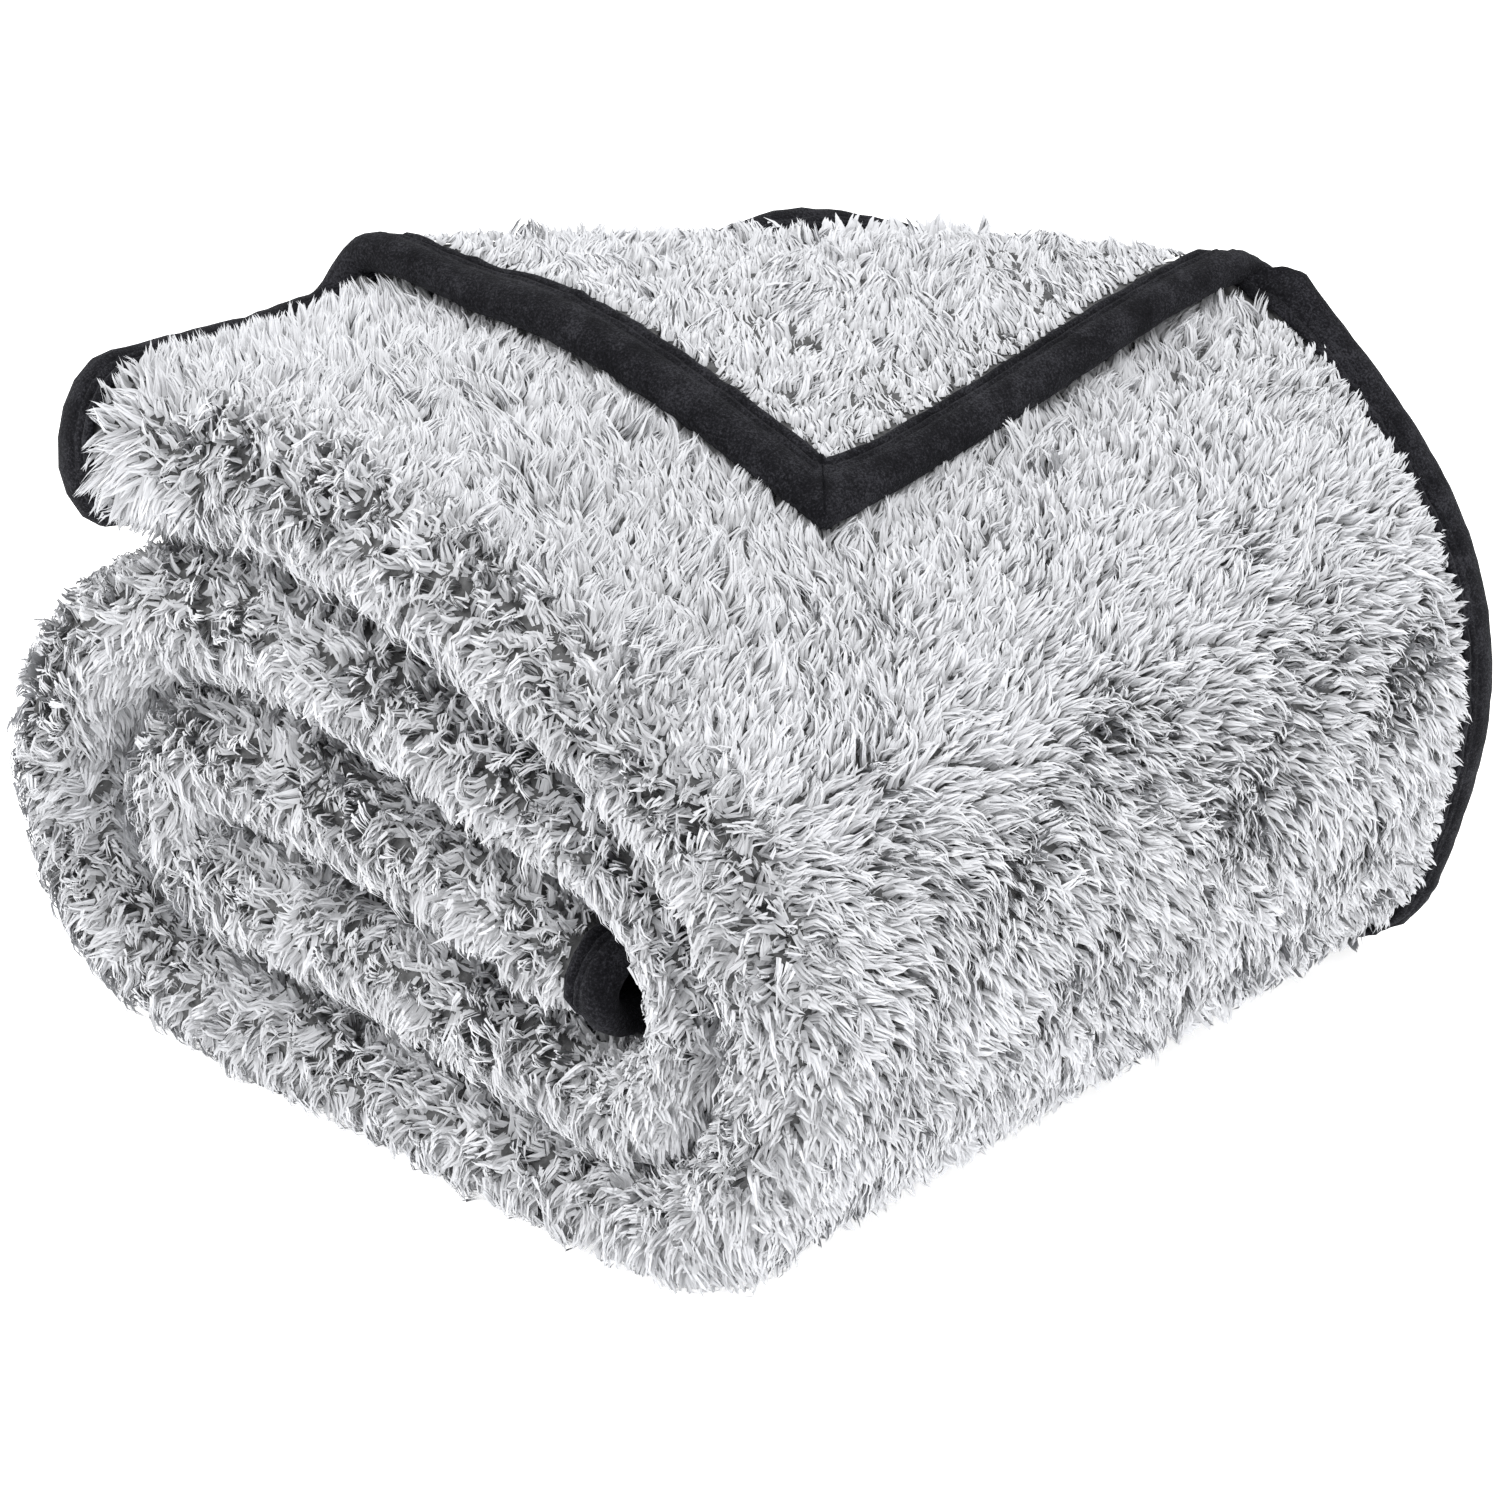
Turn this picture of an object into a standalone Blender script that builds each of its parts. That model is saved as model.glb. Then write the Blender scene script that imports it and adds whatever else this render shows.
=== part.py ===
"""A sherpa throw blanket, folded and wound with one corner turned back, and its velvet binding.

The cloth is first folded in thirds across its width, like a letter: panel B lies outside, the near nose
joins it to panel M, and the far fold joins M to panel A, whose bound edge ends inside the near nose.
That strip of three layers is then wound flat: the top run, round the right to the bottom run, round the
left to the second run, and inwards again until its end stops in the hollow of the inner right turn.
Last, the far corner of panel B is turned over towards the front, and its bound edges make a V.

Each piece is laid out flat, as cut, with s along the strip, t across it and n proud of the cloth, and
fold() takes every point of it to its folded place. +X is the right turn, -Y the near noses, +Z up, and
the origin is on the floor under the middle of the whole.
"""
import math

import bpy
import numpy as np

# Cloth, in metres
THROW_LENGTH = 2.279
THROW_WIDTH = 1.266
PITCH = 0.0191
PILE_HALF = 0.0082
RIM_HALF = 0.0026
LUMP_HEIGHT = 0.0006
LUMP_LENGTH = 0.13

# Binding
BAND_WIDTH = 0.024
BAND_HALF = 0.0056
BAND_LIP = 0.005
BAND_BACK = 0.0034
BAND_EDGE = 0.0040
CLEARANCE = 0.0005
TAPER = 0.010

# The five runs of the wound strip, by the height of their middle layer in pitches
RUN_LEVELS = (13.5, 1.5, 10.5, 4.5, 7.5)
RIGHT_STRETCH = 0.74
LEFT_STRETCH = 1.35
TOP_END_BACK = 0.098
INNER_END_PAST = 0.0012

# Where the left turns and the near noses start
X_LEFT = -0.0808
Y_NEAR = -0.1814

# The letter fold
NOSE_RADIUS = PITCH
FAR_RADIUS = 0.5 * PITCH
HIDDEN_EDGE_IN = 0.004
FAR_EDGE_OUT = 0.018

# The turned corner: its legs, the bend of its crease, and how it lies down in front of that
EAR_LEG = 0.281
EAR_RADIUS = 0.0125
EAR_LIE = 0.22
EAR_LIE_OVER = 0.12
EAR_EDGE_SINK = 0.003
EAR_EDGE_OVER = 0.09
CREASE_LEG = EAR_LEG + EAR_RADIUS * math.pi / math.sqrt(2)
EAR_GRID_END = CREASE_LEG + 0.004
EAR_FINE_START = CREASE_LEG - EAR_RADIUS * math.pi * math.sqrt(2) - BAND_WIDTH

# How the soft pile settles: shares of the height or of a turn's depth
PUFF = 0.1
SETTLE_RIGHT = 0.1
SETTLE_NEAR = 0.0271
SETTLE_CORNER = 0.225
RISE_BACK = 0.104
BELLY_LOW = 0.693
BACK_SKEW = 0.084
SPREAD_NEAR = 0.0165
SPREAD_HEIGHT = 18 * PITCH
BASE_CUT = 0.002

# How far the slack end of the top run hangs down past the left turn
END_DROP = 0.016

# Turns between one run and the next: the outermost layer's radius and the height of the centre
TURN_RADII = [abs(a - b) / 2 * PITCH + PITCH for a, b in zip(RUN_LEVELS, RUN_LEVELS[1:])]
TURN_CENTRES = [(a + b) / 2 * PITCH for a, b in zip(RUN_LEVELS, RUN_LEVELS[1:])]
SPAN_X = (THROW_LENGTH - math.pi * sum(TURN_RADII) - TOP_END_BACK - INNER_END_PAST) / 5
X_RIGHT = X_LEFT + SPAN_X

# Where each run starts and ends, by s
RUN_STARTS = [0.0]
RUN_ENDS = [TOP_END_BACK + SPAN_X]
for turn_radius in TURN_RADII:
    RUN_STARTS.append(RUN_ENDS[-1] + math.pi * turn_radius)
    RUN_ENDS.append(RUN_STARTS[-1] + SPAN_X)
RUN_ENDS[-1] += INNER_END_PAST
S_END = RUN_ENDS[-1]

# Where each stretch of the width starts, by t
SPAN_Y = (THROW_WIDTH - math.pi * (NOSE_RADIUS + FAR_RADIUS) - FAR_EDGE_OUT + HIDDEN_EDGE_IN) / 3
Y_FAR = Y_NEAR + SPAN_Y
T_NOSE = SPAN_Y + FAR_EDGE_OUT
T_INNER = T_NOSE + math.pi * NOSE_RADIUS
T_FAR = T_INNER + SPAN_Y
T_CENTRE = T_FAR + math.pi * FAR_RADIUS
T_END = T_CENTRE + SPAN_Y - HIDDEN_EDGE_IN

# Steps along the strip past the turned corner: (start, end, steps)
STRIP_RUNS = [
    (EAR_GRID_END, RUN_STARTS[1], 10),
    (RUN_STARTS[1], RUN_ENDS[1], 3),
    (RUN_ENDS[1], RUN_STARTS[2], 8),
    (RUN_STARTS[2], RUN_ENDS[2], 3),
    (RUN_ENDS[2], RUN_STARTS[3], 7),
    (RUN_STARTS[3], RUN_ENDS[3], 3),
    (RUN_ENDS[3], RUN_STARTS[4], 6),
    (RUN_STARTS[4], S_END - BAND_WIDTH - TAPER, 3),
]

# Steps across the strip past the turned corner: (start, end, steps)
WIDTH_RUNS = [
    (EAR_GRID_END, T_NOSE, 2),
    (T_NOSE, T_INNER, 7),
    (T_INNER, T_FAR, 5),
    (T_FAR, T_CENTRE, 5),
    (T_CENTRE, T_END - BAND_WIDTH - TAPER, 5),
]


def smooth(value):
    """0 below 0, 1 above 1, and a soft step between."""
    value = np.clip(value, 0, 1)
    return value * value * (3 - 2 * value)


def fold_across(t, n):
    """The letter fold: y and the height over the strip's middle layer."""
    nose = (t - T_NOSE) / NOSE_RADIUS
    far = (t - T_FAR) / FAR_RADIUS
    conditions = [t < T_NOSE, t < T_INNER, t < T_FAR, t < T_CENTRE]
    y = np.select(conditions, [
        Y_NEAR + T_NOSE - t,
        Y_NEAR - (NOSE_RADIUS + n) * np.sin(nose),
        Y_NEAR + t - T_INNER,
        Y_FAR + (FAR_RADIUS + n) * np.sin(far),
    ], Y_FAR - (t - T_CENTRE))
    height = np.select(conditions, [
        PITCH + n,
        (NOSE_RADIUS + n) * np.cos(nose),
        -PITCH - n,
        -FAR_RADIUS - (FAR_RADIUS + n) * np.cos(far),
    ], n)
    return y, height


def turn_corner(s, t, n):
    """The turned corner of panel B: s, t and the height over the strip's middle layer after turning."""
    past = (CREASE_LEG - s - t) / math.sqrt(2)
    angle = np.clip(past / EAR_RADIUS, 0, math.pi)
    flap = past > math.pi * EAR_RADIUS
    out = np.where(flap, math.pi * EAR_RADIUS - past, (EAR_RADIUS - n) * np.sin(angle))
    shift = (past - out) / math.sqrt(2)
    turned = past > 0
    lying = smooth((past - math.pi * EAR_RADIUS) / EAR_LIE_OVER)
    rise = EAR_RADIUS * (1 - EAR_LIE * lying)
    height = PITCH + rise - (rise - n) * np.cos(angle)
    height -= EAR_EDGE_SINK * lying * (1 - smooth(s / EAR_EDGE_OVER) * smooth(t / EAR_EDGE_OVER))
    s = np.where(turned, s + shift, s)
    t = np.where(turned, t + shift, t)
    return s, t, height, turned


def wind_along(s, height, skew):
    """The wound strip's runs and turns: x and z, its top run moved along X by its skew."""
    puff = 1 + PUFF * (1 - smooth((s - RUN_ENDS[0]) / (math.pi * TURN_RADII[0])))
    past_left = np.clip((TOP_END_BACK - s - skew) / TOP_END_BACK, 0, 1)
    drop = END_DROP * past_left ** 2
    height = (height + 1.5 * PITCH) * (puff + drop / (3 * PITCH)) - 1.5 * PITCH - drop
    x, z = np.zeros_like(s), np.zeros_like(s)
    for i, level in enumerate(RUN_LEVELS):
        way = 1 if i % 2 == 0 else -1
        end_x = X_RIGHT if way > 0 else X_LEFT
        if i == len(RUN_LEVELS) - 1:
            end_x += INNER_END_PAST
        on_run = s >= (RUN_STARTS[i] if i else -1)
        x = np.where(on_run, end_x + way * (s - RUN_ENDS[i]), x)
        z = np.where(on_run, level * PITCH + way * height, z)
        if i < len(TURN_RADII):
            angle = (s - RUN_ENDS[i]) / TURN_RADII[i]
            arm = TURN_RADII[i] - PITCH + height
            on_turn = s > RUN_ENDS[i]
            x = np.where(on_turn, end_x + way * arm * np.sin(angle), x)
            z = np.where(on_turn, TURN_CENTRES[i] + way * arm * np.cos(angle), z)
    return x + skew, z


def belly(z, centre):
    """How much further out the lower half of a sagging turn reaches at height z than a round one."""
    return 1 + BELLY_LOW * np.clip(1 - z / centre, 0, 1) ** 4


def settle(x, y, z, on_top):
    """The soft stack settles: full turns, and a top that rises to the back left and sinks to the right."""
    along = smooth((x - X_LEFT) / (X_RIGHT + TURN_RADII[0] - X_LEFT))
    back = smooth((y - Y_NEAR) / SPAN_Y)
    share = 1 - SETTLE_RIGHT * along - SETTLE_NEAR * (1 - back) - SETTLE_CORNER * along * (1 - back)
    share += RISE_BACK * (1 - along) ** 2 * back
    right = RIGHT_STRETCH * belly(z, TURN_CENTRES[0])
    left = LEFT_STRETCH * belly(z, TURN_CENTRES[1])
    x = np.where(x > X_RIGHT, X_RIGHT + (x - X_RIGHT) * right, x)
    x = np.where((x < X_LEFT) & ~on_top, X_LEFT + (x - X_LEFT) * left, x)
    y = y - SPREAD_NEAR * (1 - back) * smooth(1 - z / SPREAD_HEIGHT)
    return x, y, np.maximum(z * share - BASE_CUT, 0)


def fold(flat):
    """The folded places of flat points, whose columns are s, t and n."""
    s, t, n = flat.T
    y, height = fold_across(t, n)
    ear_s, ear_t, ear_height, turned = turn_corner(s, t, n)
    turned &= t < T_NOSE
    s = np.where(turned, ear_s, s)
    y = np.where(turned, Y_NEAR + T_NOSE - ear_t, y)
    height = np.where(turned, ear_height, height)
    on_top = s < RUN_ENDS[0]
    skew = BACK_SKEW * smooth((y - Y_FAR + EAR_LEG) / EAR_LEG) * smooth(1 - s / RUN_ENDS[0])
    x, z = wind_along(s, height, np.where((t > T_NOSE) & on_top, skew, 0))
    return np.stack(settle(x, y, z, on_top), axis=1)


def stations(past_corner, end):
    """Rising values from one bound edge to the other: the near rim, the corner, the rest, the far rim."""
    near = [
        (BAND_EDGE + CLEARANCE, BAND_WIDTH, 1),
        (BAND_WIDTH, BAND_WIDTH + TAPER, 1),
        (BAND_WIDTH + TAPER, EAR_FINE_START, 9),
        (EAR_FINE_START, EAR_GRID_END, 7),
    ]
    far = [
        (end - BAND_WIDTH - TAPER, end - BAND_WIDTH, 1),
        (end - BAND_WIDTH, end - BAND_EDGE - CLEARANCE, 1),
    ]
    values = [near[0][0]]
    for start, stop, steps in near + past_corner + far:
        values += [start + (stop - start) * (i + 1) / steps for i in range(steps)]
    return np.array(values)


ALONG = stations(STRIP_RUNS, S_END)
ACROSS = stations(WIDTH_RUNS, T_END)


def slab_faces(rows, columns):
    """Triangles of a closed slab whose upper points come first, then its lower ones, both row by row."""
    i, j = np.meshgrid(np.arange(rows - 1), np.arange(columns - 1), indexing="ij")
    a = (i * columns + j).ravel()
    b, c, d = a + columns, a + columns + 1, a + 1
    upper = np.concatenate([np.stack([a, d, b], 1), np.stack([b, d, c], 1)])
    lower = upper[:, ::-1] + rows * columns
    ring = np.concatenate([
        np.arange(columns - 1),
        np.arange(rows - 1) * columns + columns - 1,
        (rows - 1) * columns + np.arange(columns - 1, 0, -1),
        np.arange(rows - 1, 0, -1) * columns,
    ])
    after = np.roll(ring, -1)
    down = rows * columns
    side = np.concatenate([
        np.stack([ring, ring + down, after], 1),
        np.stack([after, ring + down, after + down], 1),
    ])
    return np.concatenate([upper, lower, side])


def half_thickness(s, t):
    """Half the cloth's thickness: its bare rim inside the binding, and its lumpy pile past it."""
    edge = np.minimum(np.minimum(s, t), np.minimum(S_END - s, T_END - t))
    wave = 2 * math.pi / LUMP_LENGTH
    lump = LUMP_HEIGHT * np.sin(wave * s + 2 * np.sin(wave * t / 3)) * np.cos(wave * t + np.sin(wave * s / 2))
    return RIM_HALF + (PILE_HALF + lump - RIM_HALF) * smooth((edge - BAND_WIDTH) / TAPER)


def blanket_mesh():
    """The cloth's folded points and its triangles."""
    s, t = (grid.ravel() for grid in np.meshgrid(ALONG, ACROSS, indexing="ij"))
    half = half_thickness(s, t)
    upper, lower = np.stack([s, t, half], 1), np.stack([s, t, -half], 1)
    return fold(np.concatenate([upper, lower])), slab_faces(len(ALONG), len(ACROSS))


def band_section():
    """The binding's U, as rows of how far in from the edge and how proud of the cloth."""
    slot = RIM_HALF + CLEARANCE
    outer = [(BAND_WIDTH, BAND_HALF), (BAND_LIP, BAND_HALF), (0.0, BAND_BACK)]
    inner = [(BAND_EDGE, slot), (BAND_WIDTH, slot)]
    lower = [(q, -n) for q, n in outer[::-1]]
    return np.array(outer + lower + [(q, -n) for q, n in inner[::-1]] + inner)


def band_mesh():
    """The binding's folded points and triangles: a section at every station of the rim, its corners mitred.

    Each four-sided face is split like the cloth's under it, along the line where s + t changes least.
    """
    section = band_section()
    s_in = [s for s in ALONG if BAND_WIDTH + CLEARANCE < s < S_END - BAND_WIDTH - CLEARANCE]
    t_in = [t for t in ACROSS if BAND_WIDTH + CLEARANCE < t < T_END - BAND_WIDTH - CLEARANCE]
    spots = [(0, 0, 1, 1)] + [(s, 0, 0, 1) for s in s_in]
    spots += [(S_END, 0, -1, 1)] + [(S_END, t, -1, 0) for t in t_in]
    spots += [(S_END, T_END, -1, -1)] + [(s, T_END, 0, -1) for s in s_in[::-1]]
    spots += [(0, T_END, 1, -1)] + [(0, t, 1, 0) for t in t_in[::-1]]
    flat = [(s + q * ds, t + q * dt, n) for s, t, ds, dt in spots for q, n in section]
    count, points = len(spots), len(section)
    flat = np.array(flat, float)
    k, m = (grid.ravel() for grid in np.meshgrid(np.arange(count), np.arange(points), indexing="ij"))
    a, d = k * points + m, k * points + (m + 1) % points
    b, c = (k + 1) % count * points + m, (k + 1) % count * points + (m + 1) % points
    reach = flat[:, 0] + flat[:, 1]
    level = (np.abs(reach[b] - reach[d]) <= np.abs(reach[a] - reach[c]))[:, None]
    first = np.where(level, np.stack([a, b, d], 1), np.stack([a, b, c], 1))
    second = np.where(level, np.stack([b, c, d], 1), np.stack([a, c, d], 1))
    return fold(flat), np.concatenate([first, second])


def material(name, colour, roughness):
    """A cloth finish."""
    made = bpy.data.materials.new(name)
    made.use_nodes = True
    shader = made.node_tree.nodes["Principled BSDF"]
    shader.inputs["Base Color"].default_value = (*colour, 1)
    shader.inputs["Roughness"].default_value = roughness
    return made


def add_piece(name, mesh_data, finish):
    """One named object from points and triangles."""
    points, faces = mesh_data
    mesh = bpy.data.meshes.new(name)
    mesh.from_pydata(points.tolist(), [], faces.tolist())
    mesh.shade_smooth()
    mesh.set_sharp_from_angle(angle=math.radians(50))
    mesh.materials.append(finish)
    piece = bpy.data.objects.new(name, mesh)
    bpy.context.collection.objects.link(piece)
    return piece


def main():
    for old in list(bpy.data.objects):
        bpy.data.objects.remove(old)
    add_piece("blanket", blanket_mesh(), material("sherpa", (0.55, 0.55, 0.56), 0.95))
    add_piece("binding", band_mesh(), material("velvet", (0.012, 0.012, 0.013), 0.9))


main()
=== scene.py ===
"""Looks of the folded sherpa throw: its ground cloth, velvet binding and long frosted pile.

The cloth is laid out flat, as cut, with s along the folded strip, t across it and n proud of the cloth.
fold() takes flat points to their folded places: a letter fold in thirds, then a flat winding of five runs,
with the far corner of the outer panel turned over towards the front. Every piece here is made flat and
folded by it, so the cloth, its binding and the roots of its pile all lie on the same folds.
"""
import math
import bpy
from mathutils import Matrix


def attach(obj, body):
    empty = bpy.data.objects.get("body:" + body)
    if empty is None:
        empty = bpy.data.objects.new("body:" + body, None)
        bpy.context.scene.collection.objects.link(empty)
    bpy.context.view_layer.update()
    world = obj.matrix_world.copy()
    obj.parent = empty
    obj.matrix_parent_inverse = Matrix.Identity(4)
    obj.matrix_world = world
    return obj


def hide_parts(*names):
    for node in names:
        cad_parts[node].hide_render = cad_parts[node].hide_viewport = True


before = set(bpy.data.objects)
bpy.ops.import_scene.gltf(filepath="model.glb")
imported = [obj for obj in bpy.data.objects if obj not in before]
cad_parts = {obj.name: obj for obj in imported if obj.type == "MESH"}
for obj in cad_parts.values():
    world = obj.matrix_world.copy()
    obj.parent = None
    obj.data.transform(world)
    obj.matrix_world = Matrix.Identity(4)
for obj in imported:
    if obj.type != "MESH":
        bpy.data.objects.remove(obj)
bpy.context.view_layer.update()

from types import SimpleNamespace

import bpy
import numpy as np
from mathutils import Vector

# Cloth, in metres: its flat size, the pitch of its layers, and half its thickness without the pile
THROW_LENGTH = 2.279
THROW_WIDTH = 1.266
PITCH = 0.0191
GROUND_HALF = 0.0034
RIM_HALF = 0.0022
GROUND_STEP_ALONG = 0.024
GROUND_STEP_ACROSS = 0.011

# Pile: how far its roots lie from the cloth's middle, how far in from the binding it starts, the least
# height of a lock over the floor, and how wide a lock's ribbons spread about its root
ROOT_DEPTH = 0.0026
RIM_GAP = 0.003
FLOOR_GAP = 0.0006
LOCK_SPREAD = 0.0024

# How far from the binding the pile changes: combed back from it, leaning out over the bound end or over
# the long edge, and shorter. Then how far the pile of the near and far folds reaches on to the flats.
COMBED_OVER = 0.022
END_LEAN_OVER = 0.07
EDGE_LEAN_OVER = 0.02
SHORT_OVER = 0.02
FOLD_LIP = 0.009

# How far round the right turn its upper and its middle patch of pile reach
RIGHT_HIGH = 0.35
RIGHT_LOW = 0.74

# Binding: its width, where the cloth's edge lies inside it, and how high its puckers stand
BAND_WIDTH = 0.024
BAND_EDGE = 0.0040
BAND_LEAST = RIM_HALF + 0.0004
PUCKER = 0.00016
PUCKER_AT_GROOVE = 0.00030
MITRE_SEAM = 0.0016
MITRE_RIDGE = 0.0004
MITRE_SHARES = (0.07, 0.16, 0.45, 0.75)

# Steps between the binding's sections: on the turned corner, round its crease, on the right turn, on the
# bound end, and on the edges that hardly show
STEP_CORNER = 0.0065
STEP_CREASE = 0.003
STEP_RIGHT = 0.0046
STEP_END = 0.0070
STEP_INNER_END = 0.0080
STEP_HIDDEN = 0.0085

# How the turned corner draws its binding in: shares of its width, and of how proud it stands
NARROW_LONG_EDGE = 0.27
NARROW_END = 0.24
NARROW_END_EASED = 0.20
TIGHT_LONG_EDGE = 0.28
TIGHT_END = 0.32

# The five runs of the wound strip, by the height of their middle layer in pitches
RUN_LEVELS = (13.5, 1.5, 10.5, 4.5, 7.5)
RIGHT_STRETCH = 0.74
LEFT_STRETCH = 1.35
TOP_END_BACK = 0.098
INNER_END_PAST = 0.0012
INNER_END_SHOWS = 0.016

# Where the left turns and the near noses start
X_LEFT = -0.0808
Y_NEAR = -0.1814

# The letter fold
NOSE_RADIUS = PITCH
FAR_RADIUS = 0.5 * PITCH
HIDDEN_EDGE_IN = 0.004
FAR_EDGE_OUT = 0.018

# The turned corner: its legs, the bend of its crease, how that is lifted towards the long edge, and how
# the corner's two free edges sink in front of it
EAR_LEG = 0.2858
EAR_RADIUS = 0.0085
EAR_LIFT = 0.0100
EAR_LIFT_REACH = 0.055
EAR_LIFT_FADE = 0.19
EAR_EDGE_SINK = 0.003
EAR_SINK_OVER = 0.12
EAR_EDGE_OVER = 0.09
CREASE_LEG = EAR_LEG + EAR_RADIUS * math.pi / math.sqrt(2)

# How the bound long edge curls up beside the crease: its height, reach across and reach along
EDGE_CURL = 0.0145
EDGE_CURL_IN = 0.034
EDGE_CURL_ALONG = 0.020

# How the soft pile settles: shares of the height or of a turn's depth
PUFF = 0.1
SETTLE_RIGHT = 0.1
SETTLE_NEAR = 0.0271
SETTLE_CORNER = 0.225
RISE_BACK = 0.104
BELLY_LOW = 0.693
BACK_SKEW = 0.084
SPREAD_NEAR = 0.0165
SPREAD_HEIGHT = 18 * PITCH
BASE_CUT = 0.002

# Where the top swells or sinks, as place, reach and share of the height: the far fold's hump behind the
# crease, its rounded back, the hollow that the turned corner's weight presses, and the right shoulder
SWELLS = (
    ((-0.110, 0.136), 0.048, 0.050),
    ((-0.095, 0.228), 0.042, -0.042),
    ((-0.045, 0.075), 0.100, -0.018),
    ((0.205, 0.200), 0.040, -0.010),
)

# How the slack end of the top run lies past the left turn: how far it hangs down, how much plumper it
# grows, and how far out it reaches
END_DROP = 0.016
END_PLUMP = 0.005
END_OUT = 0.004

# Turns between one run and the next: the outermost layer's radius and the height of the centre
TURN_RADII = [abs(a - b) / 2 * PITCH + PITCH for a, b in zip(RUN_LEVELS, RUN_LEVELS[1:])]
TURN_CENTRES = [(a + b) / 2 * PITCH for a, b in zip(RUN_LEVELS, RUN_LEVELS[1:])]
SPAN_X = (THROW_LENGTH - math.pi * sum(TURN_RADII) - TOP_END_BACK - INNER_END_PAST) / 5
X_RIGHT = X_LEFT + SPAN_X

# Where each run starts and ends, by s
RUN_STARTS = [0.0]
RUN_ENDS = [TOP_END_BACK + SPAN_X]
for turn_radius in TURN_RADII:
    RUN_STARTS.append(RUN_ENDS[-1] + math.pi * turn_radius)
    RUN_ENDS.append(RUN_STARTS[-1] + SPAN_X)
RUN_ENDS[-1] += INNER_END_PAST + INNER_END_SHOWS
S_END = RUN_ENDS[-1]

# Where each stretch of the width starts, by t
SPAN_Y = (THROW_WIDTH - math.pi * (NOSE_RADIUS + FAR_RADIUS) - FAR_EDGE_OUT + HIDDEN_EDGE_IN) / 3
Y_FAR = Y_NEAR + SPAN_Y
T_NOSE = SPAN_Y + FAR_EDGE_OUT
T_INNER = T_NOSE + math.pi * NOSE_RADIUS
T_FAR = T_INNER + SPAN_Y
T_CENTRE = T_FAR + math.pi * FAR_RADIUS
T_END = T_CENTRE + SPAN_Y - HIDDEN_EDGE_IN

# The main view
VIEW_TURN = 43.5
VIEW_RISE = 20.975
VIEW_DISTANCE = 1.4865
VIEW_LENS = 84.0
VIEW_TARGET = (0.0085, 0.0, 0.1083)

# Light: how much the floor and the surround glow, and each lamp's place and power in watts
FLOOR_SIZE = 60
FLOOR_GLOW = 0.68
SURROUND_GLOW = 1.05
LAMP_SIZE = 1.4
LAMP_TARGET = (0, 0, 0.15)
LAMPS = (
    ("key", (0.6, -0.3, 2.3), 26),
    ("left", (-1.4, -1.4, 0.8), 22),
    ("right", (1.7, -0.5, 0.7), 6),
)


# ---------------------------------------------------------------- fold


def smooth(value):
    """0 below 0, 1 above 1, and a soft step between."""
    value = np.clip(value, 0, 1)
    return value * value * (3 - 2 * value)


def fold_across(t, n):
    """The letter fold: y and the height over the strip's middle layer."""
    nose = (t - T_NOSE) / NOSE_RADIUS
    far = (t - T_FAR) / FAR_RADIUS
    conditions = [t < T_NOSE, t < T_INNER, t < T_FAR, t < T_CENTRE]
    y = np.select(conditions, [
        Y_NEAR + T_NOSE - t,
        Y_NEAR - (NOSE_RADIUS + n) * np.sin(nose),
        Y_NEAR + t - T_INNER,
        Y_FAR + (FAR_RADIUS + n) * np.sin(far),
    ], Y_FAR - (t - T_CENTRE))
    height = np.select(conditions, [
        PITCH + n,
        (NOSE_RADIUS + n) * np.cos(nose),
        -PITCH - n,
        -FAR_RADIUS - (FAR_RADIUS + n) * np.cos(far),
    ], n)
    return y, height


def turn_corner(s, t, n):
    """The turned corner of panel B: s, t and the height over the strip's middle layer after turning.

    A place past the crease goes round its bend, by its distance over the bend's radius up to half a
    turn, and then lies back over the panel. Also given: which places turn, and an extra lift on both
    sides of the crease, which holds the crease up at the long edge and curls that edge.
    """
    past = (CREASE_LEG - s - t) / math.sqrt(2)
    turned = past > 0
    angle = np.clip(past / EAR_RADIUS, 0, math.pi)
    flap = past > math.pi * EAR_RADIUS
    out = np.where(flap, math.pi * EAR_RADIUS - past, (EAR_RADIUS - n) * np.sin(angle))
    shift = (past - out) / math.sqrt(2)
    fading = np.where(turned, 1 - smooth(past / EAR_LIFT_FADE), np.exp(-(past / EAR_LIFT_REACH) ** 2))
    lift = EAR_LIFT * smooth((s - t) / CREASE_LEG) * fading
    beyond = np.exp(-np.maximum(s - CREASE_LEG, 0) / EDGE_CURL_ALONG)
    bent = np.where(turned, (1 + np.cos(angle)) / 2, beyond)
    lift = lift + EDGE_CURL * bent * (1 - smooth(t / EDGE_CURL_IN))
    height = PITCH + EAR_RADIUS - (EAR_RADIUS - n) * np.cos(angle)
    lying = smooth((past - math.pi * EAR_RADIUS) / EAR_SINK_OVER)
    height -= EAR_EDGE_SINK * lying * (1 - smooth(s / EAR_EDGE_OVER) * smooth(t / EAR_EDGE_OVER))
    return np.where(turned, s + shift, s), np.where(turned, t + shift, t), height, turned, lift


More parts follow.
